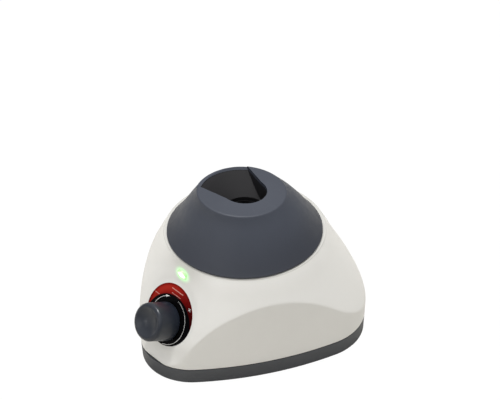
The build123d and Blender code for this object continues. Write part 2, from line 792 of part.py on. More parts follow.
def open_header(x0, x1, y0, y1, height):
    """Header block with an open pocket in its top."""
    top = BOARD_TOP + height
    pocket = block(x0 + 1, x1 - 1, y0 + 1, y1 - 1, top - 2.4, top + 1)
    return one(on_board(x0, x1, y0, y1, height) - pocket)


@piece
def board_headers():
    return group(
        open_header(-15.5, -4.5, 43.0, 48.5, 7.0),
        open_header(-4.0, 6.0, 52.0, 57.5, 7.0),
        on_board(22.0, 28.0, 41.2, 46.0, 6.5),
        on_board(-29.0, -25.2, 48.0, 53.0, 6.5),
    )


# ---------------------------------------------------------------- power inlet
@piece
def power_inlet():
    inlet = facing_back(Cylinder(5.5, 13.2), 66.0) + facing_back(Cylinder(7.6, 2.4), 73.6)
    # socket bore with its centre pin
    inlet = inlet - facing_back(Cylinder(3.2, 12.0), 71.0)
    return one(inlet + facing_back(Cylinder(1.0, 9.0), 69.5))


@piece
def inlet_nut():
    nut = facing_back(extrude(RegularPolygon(7.6, 6), 1.25, both=True), 67.9)
    return one(nut - facing_back(Cylinder(5.55, 20), 66.0))


# ---------------------------------------------------------------- touch switch
@piece
def touch_switch():
    body = block(-47.5, -43.5, -8.0, 8.0, 38.0, 47.0)
    return one(body + block(-46.3, -44.7, -3.4, -1.8, 47.0, 48.0))


@piece
def touch_lever():
    lever = block(-47.0, -44.0, -7.5, 7.0, 48.0, 48.4) + block(-47.0, -44.0, -7.5, -7.0, 47.0, 48.4)
    lever = lever + block(-46.5, -38.5, 5.5, 7.0, 48.0, 48.4)
    return one(lever + Pos(-39.5, 6.25, 50.0) * Box(2.0, 1.5, 3.8))


@piece
def switch_bracket():
    upright = block(-43.5, -42.0, -9.0, 9.0, TRAY_FLOOR, 46.0)
    return one(upright + block(-43.5, -35.5, -9.0, 9.0, TRAY_FLOOR, 12.5))


# ---------------------------------------------------------------- wiring
@piece
def harness_motor():
    return group(*[
        wire_path(0.9, 2.5, (x * 0.45, 32.2, 36.0), (x * 0.6, 38.0, 36.0),
                  (x, 45.7, 32.0), (x, 45.7, BOARD_TOP + 5.0))
        for x in (-12.5, -10.0, -7.5)])


@piece
def harness_power():
    return group(*[
        wire_path(0.9, 1.5, (x * 0.8, 59.2, 33.5), (x, 54.8, 33.0), (x, 54.8, BOARD_TOP + 5.0))
        for x in (-1.6, 3.4)])


@piece
def harness_dial():
    return one(wire_path(
        1.6, 4.0, (0.0, -65.83, 31.43), (0.0, -60.27, 28.58), (32.0, -50.0, 19.0),
        (49.0, -28.0, 17.2), (54.0, 8.0, 17.2), (44.0, 34.0, 21.0), (40.0, 43.6, 23.0),
        (28.3, 43.6, 23.0)))


@piece
def harness_led():
    return one(wire_path(
        1.1, 4.0, (-6.0, -44.2, 77.0), (-9.0, -44.6, 66.0), (-20.0, -51.0, 50.0),
        (-32.0, -50.0, 24.0), (-49.5, -28.0, 19.0), (-54.5, 8.0, 18.0), (-44.0, 34.0, 20.5),
        (-40.0, 50.5, 23.0), (-29.3, 50.5, 23.0)))


os.makedirs("parts", exist_ok=True)
for build in pieces:
    found = list(build().solids())
    shape = found[0] if len(found) == 1 else Compound(found)
    export_step(shape, f"parts/{build.__name__}.step")
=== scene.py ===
"""Vortex mixer: materials, housing skin, knob, dial print, floor, lights and camera.

Z is up, the front with the sloping dial panel faces -Y, and +X is on the right seen from
the front. Meshes are worked out in millimetres and stored in metres; shader and light
values are in metres.
"""
import json
import math

import bmesh
import bpy
import numpy as np
from mathutils import Matrix, Vector


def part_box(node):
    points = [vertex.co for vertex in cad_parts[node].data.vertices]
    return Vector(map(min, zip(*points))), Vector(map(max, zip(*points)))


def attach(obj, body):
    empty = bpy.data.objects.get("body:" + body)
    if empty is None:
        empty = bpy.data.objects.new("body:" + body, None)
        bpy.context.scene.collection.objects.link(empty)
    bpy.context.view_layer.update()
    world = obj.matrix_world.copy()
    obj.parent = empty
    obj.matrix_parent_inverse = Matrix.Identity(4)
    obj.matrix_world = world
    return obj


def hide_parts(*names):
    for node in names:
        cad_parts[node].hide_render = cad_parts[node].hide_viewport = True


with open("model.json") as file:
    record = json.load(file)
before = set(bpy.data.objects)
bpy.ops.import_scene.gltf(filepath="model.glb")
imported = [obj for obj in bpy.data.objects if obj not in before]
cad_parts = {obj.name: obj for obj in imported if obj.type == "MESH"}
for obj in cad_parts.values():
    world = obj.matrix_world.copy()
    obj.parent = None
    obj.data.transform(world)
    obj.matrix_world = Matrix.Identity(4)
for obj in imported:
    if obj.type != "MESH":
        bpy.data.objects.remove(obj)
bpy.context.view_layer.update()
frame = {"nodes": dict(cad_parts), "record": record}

# ---------------------------------------------------------------- shared dimensions (mm)
MM = 0.001                       # metres in a millimetre
CENTRE_Y = -1.59                 # shift of the body outline along Y

# Dial panel: origin on the knob axis, then its right, up and outward directions
TILT = math.radians(27.13)
PANEL = np.array([0.0, -74.44, 42.58])
PANEL_RIGHT = np.array([1.0, 0.0, 0.0])
PANEL_UP = np.array([0.0, math.sin(TILT), math.cos(TILT)])
PANEL_OUT = np.array([0.0, -math.cos(TILT), math.sin(TILT)])
DIAL_UP = 5.33                   # dial centre above the knob axis, along the panel


# ---------------------------------------------------------------- shader helpers
class Nodes:
    """An emptied node tree with short ways to add and join nodes."""

    def __init__(self, owner):
        owner.use_nodes = True
        self.tree = owner.node_tree
        self.tree.nodes.clear()

    def add(self, kind, **settings):
        node = self.tree.nodes.new("ShaderNode" + kind)
        for key, value in settings.items():
            setattr(node, key, value)
        return node

    def feed(self, socket, value):
        """Link a socket to an input, or set the input to a number, vector or RGB colour."""
        if isinstance(value, bpy.types.NodeSocket):
            self.tree.links.new(value, socket)
        elif socket.type == "RGBA":
            socket.default_value = (*value, 1.0)
        else:
            socket.default_value = value

    def position(self, space="Object"):
        return self.add("TexCoord").outputs[space]

    def height(self, position):
        node = self.add("SeparateXYZ")
        self.feed(node.inputs[0], position)
        return node.outputs["Z"]

    def noise(self, position, scale, detail=3.0, roughness=0.55, stretch=None):
        if stretch is not None:
            mapping = self.add("Mapping")
            mapping.inputs["Scale"].default_value = stretch
            self.feed(mapping.inputs["Vector"], position)
            position = mapping.outputs[0]
        node = self.add("TexNoise")
        node.inputs["Scale"].default_value = scale
        node.inputs["Detail"].default_value = detail
        node.inputs["Roughness"].default_value = roughness
        self.feed(node.inputs["Vector"], position)
        return node.outputs["Fac"]

    def ramp(self, factor, *stops):
        """Colour ramp; each stop is (position, RGB)."""
        node = self.add("ValToRGB")
        elements = node.color_ramp.elements
        while len(elements) < len(stops):
            elements.new(0.5)
        for element, (place, colour) in zip(elements, stops):
            element.position = place
            element.color = (*colour, 1.0)
        self.feed(node.inputs["Fac"], factor)
        return node.outputs["Color"]

    def math(self, operation, first, second=None):
        node = self.add("Math", operation=operation)
        self.feed(node.inputs[0], first)
        if second is not None:
            self.feed(node.inputs[1], second)
        return node.outputs[0]

    def vector(self, operation, first, second=None):
        node = self.add("VectorMath", operation=operation)
        self.feed(node.inputs[0], first)
        if second is not None:
            self.feed(node.inputs[1], second)
        scalar = operation in ("LENGTH", "DOT_PRODUCT")
        return node.outputs["Value" if scalar else "Vector"]

    def hypot(self, first, second):
        squares = [self.math("MULTIPLY", side, side) for side in (first, second)]
        return self.math("SQRT", self.math("ADD", *squares))

    def remap(self, value, source, target, smooth=False):
        """Map the source range onto the target range."""
        node = self.add("MapRange")
        if smooth:
            node.interpolation_type = "SMOOTHSTEP"
        names = ("From Min", "From Max", "To Min", "To Max")
        for name, limit in zip(names, (*source, *target)):
            node.inputs[name].default_value = limit
        self.feed(node.inputs["Value"], value)
        return node.outputs["Result"]

    def mix(self, factor, first, second, blend="MIX"):
        node = self.add("Mix", data_type="RGBA", blend_type=blend, clamp_factor=True)
        for index, value in ((0, factor), (6, first), (7, second)):
            self.feed(node.inputs[index], value)
        return node.outputs[2]

    def mix_shader(self, factor, first, second):
        node = self.add("MixShader")
        for index, value in enumerate((factor, first, second)):
            self.feed(node.inputs[index], value)
        return node.outputs[0]

    def emitter(self, kind, strength):
        """White Background or Emission shader."""
        node = self.add(kind)
        self.feed(node.inputs[0], (1.0, 1.0, 1.0))
        self.feed(node.inputs[1], strength)
        return node

    def bump(self, height, strength, distance, normal=None):
        node = self.add("Bump")
        node.inputs["Strength"].default_value = strength
        node.inputs["Distance"].default_value = distance
        self.feed(node.inputs["Height"], height)
        if normal is not None:
            self.feed(node.inputs["Normal"], normal)
        return node.outputs[0]


class Surface(Nodes):
    """A material with a Principled shader."""

    def __init__(self, name):
        self.material = bpy.data.materials.new(name)
        super().__init__(self.material)
        self.output = self.add("OutputMaterial").inputs[0]
        self.shader = self.add("BsdfPrincipled")
        self.feed(self.output, self.shader.outputs[0])

    def put(self, name, value):
        self.feed(self.shader.inputs[name], value)


def scaled(colour, factor, lift=0.0):
    return tuple(min(1.0, c * factor + lift) for c in colour)


# ---------------------------------------------------------------- materials
def plastic(name, colour, rough=0.42, grain=2600.0, grain_depth=0.12, vary=0.05,
            specular=0.45, coat=0.0):
    """Moulded or painted surface: fine grain, slow colour drift, uneven gloss, paler edges."""
    surface = Surface(name)
    position = surface.position()
    slow = surface.noise(position, scale=22.0, detail=2.0)
    middle = surface.noise(position, scale=190.0)
    fine = surface.noise(position, scale=grain, detail=2.0)

    drift = surface.ramp(
        slow, (0.35, scaled(colour, 1 - vary)), (0.65, scaled(colour, 1 + vary)))
    speck = surface.ramp(
        middle,
        (0.3, scaled(colour, 1 - vary * 0.6)),
        (0.7, scaled(colour, 1 + vary * 0.6)))
    base = surface.mix(0.4, drift, speck)
    pointiness = surface.add("NewGeometry").outputs["Pointiness"]
    wear = surface.remap(pointiness, source=(0.53, 0.62), target=(0.0, 0.10))
    surface.base = surface.mix(wear, base, scaled(colour, 1.5, lift=0.03))
    surface.put("Base Color", surface.base)

    gloss = surface.remap(middle, source=(0.25, 0.75), target=(rough - 0.05, rough + 0.06))
    surface.put("Roughness", gloss)
    surface.put("Specular IOR Level", specular)
    surface.put("Coat Weight", coat)
    surface.put("Coat Roughness", 0.12)
    grain_normal = surface.bump(fine, strength=grain_depth, distance=0.00006)
    surface.put("Normal", surface.bump(
        slow, strength=0.05, distance=0.0006, normal=grain_normal))
    return surface


def tint_by_height(surface, position, heights, low, high):
    """Multiply a plastic's base colour by a tint blending from low to high."""
    rise = surface.remap(
        surface.height(position), source=heights, target=(0.0, 1.0), smooth=True)
    tint = surface.ramp(rise, (0.0, low), (1.0, high))
    surface.put("Base Color", surface.mix(1.0, surface.base, tint, blend="MULTIPLY"))


def metal(name, colour, rough, stretch=(1, 1, 40), scale=600.0):
    """Metal with streaks drawn out by the stretch and slow blotches."""
    surface = Surface(name)
    position = surface.position()
    line = surface.noise(position, scale=scale, roughness=0.6, stretch=stretch)
    blotch = surface.noise(position, scale=60.0)
    base = surface.ramp(blotch, (0.3, scaled(colour, 0.86)), (0.7, scaled(colour, 1.08)))
    streak = surface.ramp(line, (0.35, scaled(colour, 0.92)), (0.65, colour))
    surface.put("Base Color", surface.mix(0.5, base, streak))
    surface.put("Metallic", 1.0)
    surface.put("Anisotropic", 0.4)
    surface.put("Roughness", surface.remap(
        line, source=(0.2, 0.8), target=(rough - 0.08, rough + 0.1)))
    surface.put("Normal", surface.bump(line, strength=0.15, distance=0.00003))
    return surface


def hood_surface():
    """Soft grey, with painted shade darkening it towards the foot of the hood."""
    surface = plastic("hood_soft_touch", (0.0325, 0.0380, 0.0530), rough=0.50,
                      grain=3200.0, grain_depth=0.20, specular=0.42)
    # Painted shade: the base colour is multiplied darker towards the foot of the hood
    tint_by_height(surface, surface.position(), heights=(0.087, 0.112),
                   low=(0.64, 0.64, 0.66), high=(1.0, 1.0, 1.0))
    return surface


def housing_surface(lens_low, lens_centre):
    """Off-white, with painted shade greying the top ledge and a painted pool of the lamp's
    green light glowing from the housing around the lens.
    """
    surface = plastic("housing_satin", (0.640, 0.632, 0.605), rough=0.36,
                      grain=2400.0, grain_depth=0.10, vary=0.018, specular=0.42)
    position = surface.position()
    # Painted light: the housing itself emits a green pool of the lamp's spill around the lens
    lens_front = (lens_centre.x, lens_low.y, lens_centre.z)
    from_lens = surface.vector("SUBTRACT", position, lens_front)
    # Unequal scales make the spill an ellipsoid, wider than it is high
    squashed = surface.vector("MULTIPLY", from_lens, (0.84, 0.45, 1.24))
    glow = surface.remap(surface.vector("LENGTH", squashed),
                         source=(0.0030, 0.0092), target=(1.0, 0.0), smooth=True)
    falloff = 2.2
    glow = surface.math("POWER", glow, falloff)
    # Painted shade: the top ledge is multiplied darker and greyer
    tint_by_height(surface, position, heights=(0.0853, 0.0864),
                   low=(1.0, 1.0, 1.0), high=(0.78, 0.78, 0.77))
    surface.put("Emission Color", (0.25, 1.0, 0.22))
    painted_spill_strength = 0.60
    surface.put("Emission Strength", surface.math("MULTIPLY", glow, painted_spill_strength))
    return surface


def lens_surface(lens_centre):
    """Lit lens: near-white centre and green edge."""
    half_width, half_height = 0.0045, 0.0024
    ripple = 0.25                # unevenness of the colour rings
    surface = Surface("lens_lit")
    position = surface.position()
    offset = surface.vector("SUBTRACT", position, (lens_centre.x, 0.0, lens_centre.z))
    offset = surface.vector("MULTIPLY", offset, (1 / half_width, 0.0, 1 / half_height))
    distance = surface.vector("LENGTH", offset)
    grain = surface.noise(position, scale=700.0, detail=2.0)
    uneven = surface.math("MULTIPLY", surface.math("SUBTRACT", grain, 0.5), ripple)
    radius = surface.math("ADD", distance, uneven)
    colour = surface.ramp(radius, (0.34, (1.0, 1.0, 0.94)), (0.66, (0.70, 1.0, 0.60)),
                          (1.0, (0.26, 0.92, 0.20)))
    surface.put("Emission Color", colour)
    surface.put("Emission Strength", surface.remap(
        radius, source=(0.2, 1.1), target=(2.2, 0.85)))
    surface.put("Base Color", colour)
    surface.put("Roughness", 0.2)
    return surface


def dial_surface():
    """Glossy dial: red field with a black disc round the spindle."""
    disc_right, disc_down = 0.0011, 0.0029           # disc centre from the knob axis
    fade_up, fade_right, fade_start = 26.0, -12.0, 0.32   # slopes and level of the red fade

    surface = Surface("dial_print")
    position = surface.position()
    offset = surface.vector("SUBTRACT", position, tuple(PANEL * MM))
    right = surface.vector("DOT_PRODUCT", offset, tuple(PANEL_RIGHT))
    up = surface.vector("DOT_PRODUCT", offset, tuple(PANEL_UP))

    disc_radius = surface.hypot(surface.math("SUBTRACT", right, disc_right),
                                surface.math("ADD", up, disc_down))
    disc = surface.remap(
        disc_radius, source=(0.0226, 0.0232), target=(1.0, 0.0), smooth=True)

    # Red darkens downward and to the right
    fade = surface.math("ADD", surface.math("MULTIPLY", up, fade_up),
                        surface.math("MULTIPLY", right, fade_right))
    red = surface.ramp(
        surface.math("ADD", fade, fade_start),
        (0.0, (0.004, 0.0004, 0.0006)),
        (0.36, (0.016, 0.0008, 0.0012)),
        (0.60, (0.058, 0.0018, 0.0019)),
        (0.82, (0.155, 0.0042, 0.0034)),
        (1.0, (0.28, 0.011, 0.007)))
    ink = surface.noise(position, scale=900.0, detail=2.0)
    red_ink = surface.ramp(ink, (0.3, (0.03, 0.001, 0.001)), (0.7, (0.16, 0.006, 0.005)))
    red = surface.mix(0.14, red, red_ink)
    black = surface.ramp(
        ink, (0.3, (0.0012, 0.0012, 0.0014)), (0.7, (0.0026, 0.0024, 0.0028)))

    # Painted highlight: a brighter band near the rim on the left. Then a darkened rim
    dial_radius = surface.hypot(right, surface.math("SUBTRACT", up, DIAL_UP * MM))
    painted_highlight_band = surface.math(
        "MULTIPLY",
        surface.remap(dial_radius, source=(0.0150, 0.0190), target=(0.0, 1.0), smooth=True),
        surface.remap(dial_radius, source=(0.0198, 0.0216), target=(1.0, 0.0), smooth=True))
    painted_highlight_band = surface.math("MULTIPLY", painted_highlight_band, surface.remap(
        right, source=(-0.012, 0.010), target=(0.24, 0.0), smooth=True))
    red = surface.mix(painted_highlight_band, red, (0.52, 0.040, 0.022))
    rim = surface.remap(
        dial_radius, source=(0.0208, 0.0224), target=(0.0, 0.55), smooth=True)
    red = surface.mix(rim, red, (0.05, 0.001, 0.001))

    surface.put("Base Color", surface.mix(disc, red, black))
    surface.put("Roughness", surface.remap(ink, source=(0.3, 0.7), target=(0.10, 0.17)))
    surface.put("Specular IOR Level", 0.04)
    surface.put("Normal", surface.bump(ink, strength=0.06, distance=0.00003))
    return surface


def ink_surface(name, dark, light):
    surface = Surface(name)
    grain = surface.noise(surface.position(), scale=1500.0, detail=2.0)
    surface.put("Base Color", surface.ramp(grain, (0.3, dark), (0.7, light)))
    surface.put("Roughness", 0.4)
    return surface


def floor_surface():
    """Nearly all white glow to the camera, plain matt white to every other ray."""
    surface = Surface("floor_white")
    mottle = surface.noise(surface.position(), scale=3.0, detail=2.0)
    surface.put("Base Color", surface.ramp(
        mottle, (0.3, (0.62, 0.60, 0.555)), (0.7, (0.64, 0.62, 0.575))))
    surface.put("Roughness", 0.7)
    surface.put("Specular IOR Level", 0.1)
    glow = surface.emitter("Emission", strength=1.03)
    camera_ray = surface.add("LightPath").outputs["Is Camera Ray"]
    share = surface.remap(camera_ray, source=(0.0, 1.0), target=(0.0, 0.97))
    surface.feed(surface.output, surface.mix_shader(
        share, surface.shader.outputs[0], glow.outputs[0]))
    return surface


lens_low, lens_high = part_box("led_lens")
lens_centre = (lens_low + lens_high) / 2

# Surface for each material slot of the frame
surfaces = {
    "hood_grey": hood_surface(),
    "dark_base": plastic("base_powder_coat", (0.050, 0.053, 0.059), rough=0.52,
                         grain=1500.0, grain_depth=0.30, vary=0.07, specular=0.4),
    "knob_grey": plastic("knob_soft_touch", (0.0110, 0.0145, 0.0225), rough=0.34,
                         grain=3600.0, grain_depth=0.06, specular=0.40, coat=0.04),
    "cup_rubber": plastic("cup_rubber", (0.011, 0.0105, 0.012), rough=0.55,
                          grain=2200.0, grain_depth=0.3, vary=0.12, specular=0.35),
    "black_rubber": plastic("black_rubber", (0.018, 0.018, 0.020), rough=0.72,
                            grain=1500.0, grain_depth=0.4, vary=0.15, specular=0.3),
    "black_plastic": plastic("black_moulding", (0.022, 0.022, 0.025), rough=0.4,
                             grain_depth=0.2, vary=0.1),
    "white_plastic": plastic("white_moulding", (0.70, 0.69, 0.64), rough=0.45,
                             grain_depth=0.15, vary=0.04),
    "cable_jacket": plastic("cable_jacket", (0.03, 0.03, 0.034), rough=0.45,
                            grain=1800.0, grain_depth=0.15, vary=0.1),
    "pcb": plastic("solder_mask", (0.02, 0.14, 0.06), rough=0.32,
                   grain=900.0, grain_depth=0.2, vary=0.12, coat=0.3),
    "steel": metal("zinc_steel", (0.55, 0.56, 0.58), rough=0.3),
    "dark_steel": metal("black_oxide_steel", (0.10, 0.10, 0.11), rough=0.38),
    "alloy": metal("machined_alloy", (0.72, 0.73, 0.75), rough=0.26),
    "brass": metal("turned_brass", (0.75, 0.55, 0.24), rough=0.25),
    "copper": metal("enamelled_copper", (0.62, 0.25, 0.11), rough=0.28,
                    stretch=(8, 8, 60)),
    "lamination": metal("laminations", (0.28, 0.28, 0.30), rough=0.4,
                        stretch=(1, 1, 60), scale=160.0),
    "magnet": metal("sintered_magnet", (0.12, 0.12, 0.13), rough=0.5),
    "off_white_plastic": housing_surface(lens_low, lens_centre),
    "green_lens": lens_surface(lens_centre),
    "dial_print": dial_surface(),
}
surfaces["lamp"] = surfaces["green_lens"]
white_ink = ink_surface("white_print", dark=(0.60, 0.60, 0.58), light=(0.80, 0.80, 0.78))
rule_ink = ink_surface("rule_print", dark=(0.40, 0.16, 0.13), light=(0.62, 0.30, 0.25))

slot_of = {part["node"]: part["material_slot"] for part in frame["record"]["subparts"]}
for name, piece in frame["nodes"].items():
    material = surfaces.get(slot_of.get(name), surfaces["steel"]).material
    if not piece.material_slots:
        piece.data.materials.append(material)
    for slot in piece.material_slots:
        slot.material = material


# ---------------------------------------------------------------- mesh helpers
def face_outward(mesh, merge=None):
    """Make face normals consistent, first joining vertices closer than merge (m)."""
    edit = bmesh.new()
    edit.from_mesh(mesh)
    if merge is not None:
        bmesh.ops.remove_doubles(edit, verts=edit.verts, dist=merge)
    bmesh.ops.recalc_face_normals(edit, faces=edit.faces)
    edit.to_mesh(mesh)
    edit.free()


def shade(mesh, smooth):
    for polygon in mesh.polygons:
        polygon.use_smooth = smooth


def make_object(name, verts, faces, surface, smooth=True):
    mesh = bpy.data.meshes.new(name)
    mesh.from_pydata([tuple(float(c) * MM for c in vert) for vert in verts], [], faces)
    mesh.validate()
    face_outward(mesh)
    shade(mesh, smooth)
    mesh.materials.append(surface.material)
    piece = bpy.data.objects.new(name, mesh)
    bpy.context.scene.collection.objects.link(piece)
    return piece


def smoothstep(t):
    return t * t * (3 - 2 * t)


def natural_spline(xs, ys):
    """Natural cubic spline through the points, as a function of x."""
    count = len(xs)
    gap = np.diff(xs)
    matrix = np.zeros((count, count))
    target = np.zeros(count)
    matrix[0, 0] = matrix[-1, -1] = 1
    for i in range(1, count - 1):
        matrix[i, i - 1:i + 2] = gap[i - 1], 2 * (gap[i - 1] + gap[i]), gap[i]
        target[i] = 6 * ((ys[i + 1] - ys[i]) / gap[i] - (ys[i] - ys[i - 1]) / gap[i - 1])
    bend = np.linalg.solve(matrix, target)

    def evaluate(x):
        i = np.clip(np.searchsorted(xs, x) - 1, 0, count - 2)
        width = gap[i]
        after, before = xs[i + 1] - x, x - xs[i]
        return ((bend[i] * after ** 3 + bend[i + 1] * before ** 3) / (6 * width)
                + (ys[i] / width - bend[i] * width / 6) * after
                + (ys[i + 1] / width - bend[i + 1] * width / 6) * before)
    return evaluate


# ---------------------------------------------------------------- housing skin (mm)
BOTTOM = 15.6
LEDGE = 86.7                     # flat top around the collar
LEDGE_ROUND = 1.0
WALL = 2.7
COLLAR_OUTER, COLLAR_INNER, COLLAR_TOP, COLLAR_BEVEL = 44.0, 41.5, 96.0, 0.4
LEAN = math.tan(math.radians(3.0))   # outward lean of the side wall with height
LEAN_START = 3.0                 # height where the wall meets the plain outline
OUTLINE_SPREAD = 5.0             # offset between the two outlines the wall blends
FRONT_SPAN = 33                  # degrees either side of the front where the bell is pulled in

# Bell: height, radius, reduction of the radius at the front
BELL = np.array([
    (12.0, 94.0, 5.0), (29.0, 87.1, 5.7), (41.0, 81.5, 6.3), (53.0, 75.5, 6.4),
    (63.0, 70.2, 6.1), (73.0, 64.9, 5.3), (81.0, 60.9, 3.3), (LEDGE, 57.6, 0.3)])

COLUMNS = 288
THETA = np.linspace(-math.pi, math.pi, COLUMNS, endpoint=False)
FROM_FRONT = np.abs((np.degrees(THETA) + 90 + 180) % 360 - 180)   # degrees from -Y


def circle_crossings(centre_a, radius_a, centre_b, radius_b):
    between = centre_b - centre_a
    gap = np.hypot(*between)
    along = (gap * gap + radius_a * radius_a - radius_b * radius_b) / (2 * gap)
    across = math.sqrt(max(radius_a * radius_a - along * along, 0))
    ahead = between / gap
    aside = np.array([-ahead[1], ahead[0]])
    return [centre_a + ahead * along + aside * across,
            centre_a + ahead * along - aside * across]


def outline(offset, steps=60):
    """Three bowed sides joined by round corners, one at the front, moved out by offset."""
    side_reach, back_reach = 63.15, 72.99            # from the centre to each bowed side
    side_r, back_r, front_r, corner_r = 238.7, 342.9, 36.8, 39.95
    turn = math.radians(25.36)
    mirror = [-1, 1]
    right = np.array([-math.cos(turn), math.sin(turn)]) * (side_r - side_reach)
    left = right * mirror
    back = np.array([0.0, -(back_r - back_reach)])
    front = min(circle_crossings(right, side_r - front_r, left, side_r - front_r),
                key=lambda p: p[1])
    corner = max(circle_crossings(right, side_r - corner_r, back, back_r - corner_r),
                 key=lambda p: p[0])

    def heading(start, end):
        return math.atan2(end[1] - start[1], end[0] - start[0])

    to_front, to_corner = heading(right, front), heading(right, corner)
    from_back = heading(back, corner)
    arcs = [  # centre, radius, start and end angle
        (front, front_r, -math.pi - to_front, to_front),
        (right, side_r, to_front, to_corner),
        (corner, corner_r, to_corner, from_back),
        (back, back_r, from_back, math.pi - from_back),
        (corner * mirror, corner_r, math.pi - from_back, math.pi - to_corner),
        (left, side_r, math.pi - to_corner, math.pi - to_front)]
    return np.array([
        (centre[0] + (radius + offset) * math.cos(t),
         centre[1] + (radius + offset) * math.sin(t) + CENTRE_Y)
        for centre, radius, start, end in arcs
        for t in np.linspace(start, end, steps, endpoint=False)])


def outline_radius(offset):
    """Outline radius at each THETA."""
    points = outline(offset)
    angle = np.arctan2(points[:, 1], points[:, 0])
    radius = np.hypot(points[:, 0], points[:, 1])
    order = np.argsort(angle)
    return np.interp(THETA, angle[order], radius[order], period=2 * math.pi)


wall_inner, wall_outer = outline_radius(0.0), outline_radius(OUTLINE_SPREAD)
bell_full = natural_spline(BELL[:, 0], BELL[:, 1])
bell_cut = natural_spline(BELL[:, 0], BELL[:, 2])
front_weight = np.where(
    FROM_FRONT < FRONT_SPAN,
    np.cos(np.radians(np.minimum(FROM_FRONT, FRONT_SPAN) * 90 / FRONT_SPAN)) ** 2, 0.0)


def wall_radius(z, inset=0.0):
    share = (-inset + (z - LEAN_START) * LEAN) / OUTLINE_SPREAD
    return wall_inner + (wall_outer - wall_inner) * share


def bell_radius(z, inset=0.0):
    return bell_full(z) - bell_cut(z) * front_weight - inset


def skin_radius(z, inset=0.0):
    """Smooth minimum of bell and wall; outside, the crease softens towards the front."""
    z = np.broadcast_to(z, (COLUMNS,))
    bell, wall = bell_radius(z, inset), wall_radius(z, inset)
    softness = 0.35
    if inset == 0.0:
        near_front = np.clip((24.0 - FROM_FRONT) / 12.0, 0, 1)
        raised = np.clip((z - BOTTOM) / 9.0, 0, 1)
        softness = softness + 2.3 * smoothstep(near_front) * smoothstep(raised)
    low = np.minimum(bell, wall)
    return low - softness * np.log(
        np.exp(-(bell - low) / softness) + np.exp(-(wall - low) / softness))


def crease_heights():
    """Height at each THETA where the bell meets the wall, by bisection."""
    low, high = np.full(COLUMNS, BOTTOM), np.full(COLUMNS, 85.0)
    for _ in range(40):
        middle = (low + high) / 2
        bell_outside = bell_radius(middle) > wall_radius(middle)
        low = np.where(bell_outside, middle, low)
        high = np.where(bell_outside, high, middle)
    return np.clip((low + high) / 2, BOTTOM + 2.0, 80.0)


def skin_rows():
    """Rings of (radius, height), up the outside and down the inside, and the outer count."""
    crease = crease_heights()
    rows = [(skin_radius(BOTTOM) - 0.5, BOTTOM),
            (skin_radius(BOTTOM + 0.15) - 0.15, BOTTOM + 0.15)]
    for t in np.linspace(0, 1, 22):
        z = BOTTOM + 0.5 + (crease - BOTTOM - 0.5) * (1 - (1 - t) ** 1.5)
        rows.append((skin_radius(z), z))
    round_start = LEDGE - LEDGE_ROUND
    for t in np.linspace(0, 1, 44)[1:]:
        z = crease + (round_start - crease) * t ** 1.25
        rows.append((skin_radius(z), z))
    top = skin_radius(round_start)
    for angle in np.linspace(0, math.pi / 2, 6)[1:]:
        rows.append((top - LEDGE_ROUND * (1 - math.cos(angle)),
                     round_start + LEDGE_ROUND * math.sin(angle)))
    rows += [
        (50.0, LEDGE),
        (COLLAR_OUTER + 0.6, LEDGE),
        (COLLAR_OUTER, LEDGE + 0.5),
        (COLLAR_OUTER, COLLAR_TOP - COLLAR_BEVEL),
        (COLLAR_OUTER - COLLAR_BEVEL, COLLAR_TOP),
        (COLLAR_INNER + COLLAR_BEVEL, COLLAR_TOP),
        (COLLAR_INNER, COLLAR_TOP - COLLAR_BEVEL),
        (COLLAR_INNER, LEDGE - WALL)]
    outer_count = len(rows)
    for z in np.linspace(LEDGE - WALL, BOTTOM, 26):
        rows.append((skin_radius(z, WALL), z))
    return rows, outer_count


def flatten_panel(points):
    """Press the outer skin onto the dial panel plane, easing out around the dial."""
    flat_r, ease, reach, sink = 23.4, 6.0, 9, 0.06
    offset = points - PANEL
    outward, right, up = offset @ PANEL_OUT, offset @ PANEL_RIGHT, offset @ PANEL_UP
    radius = np.hypot(right, up - DIAL_UP)
    t = np.clip((radius - flat_r) / ease, 0, 1)
    weight = (1 - smoothstep(t)) * (np.abs(outward) < reach) * (points[:, 1] < 0)
    return points + (weight * (-sink - outward))[:, None] * PANEL_OUT


def build_housing():
    rows, outer_count = skin_rows()
    verts, faces = [], []
    for i, (radius, z) in enumerate(rows):
        heights = np.broadcast_to(z, (COLUMNS,))
        points = np.stack([radius * np.cos(THETA), radius * np.sin(THETA), heights], 1)
        if i < outer_count:
            points = flatten_panel(points)
        verts += points.tolist()
    for i in range(len(rows)):
        here, above = i * COLUMNS, (i + 1) % len(rows) * COLUMNS
        for k in range(COLUMNS):
            beside = (k + 1) % COLUMNS
            faces.append((here + k, here + beside, above + beside, above + k))
    skin = make_object("housing_skin", verts, faces, surfaces["off_white_plastic"])
    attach(skin, "frame")
    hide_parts("upper_housing")
    skin.modifiers.new("wn", "WEIGHTED_NORMAL").keep_sharp = True


# ---------------------------------------------------------------- knob (mm)
KNOB_R, KNOB_LENGTH = 13.8, 20.4
DISH_R, DISH_DEPTH, DISH_RISE = 10.2, 2.9, 2.55


def lathe(name, profile, surface, segments=160):
    """Piece turned about the panel axis from a closed profile of (radius, height)."""
    verts, faces = [], []
    count = len(profile)
    for i in range(segments):
        angle = 2 * math.pi * i / segments
        spoke = PANEL_RIGHT * math.cos(angle) + PANEL_UP * math.sin(angle)
        verts += [PANEL + PANEL_OUT * height + spoke * radius for radius, height in profile]
        here, there = i * count, (i + 1) % segments * count
        for k in range(count):
            after = (k + 1) % count
            faces.append((here + k, here + after, there + after, there + k))
    return make_object(name, verts, faces, surface)


def arc(centre_r, centre_h, radius, start, end, count):
    """Profile points on an arc between two angles in degrees."""
    angles = [math.radians(start + (end - start) * i / (count - 1)) for i in range(count)]
    return [(centre_r + radius * math.cos(a), centre_h + radius * math.sin(a))
            for a in angles]


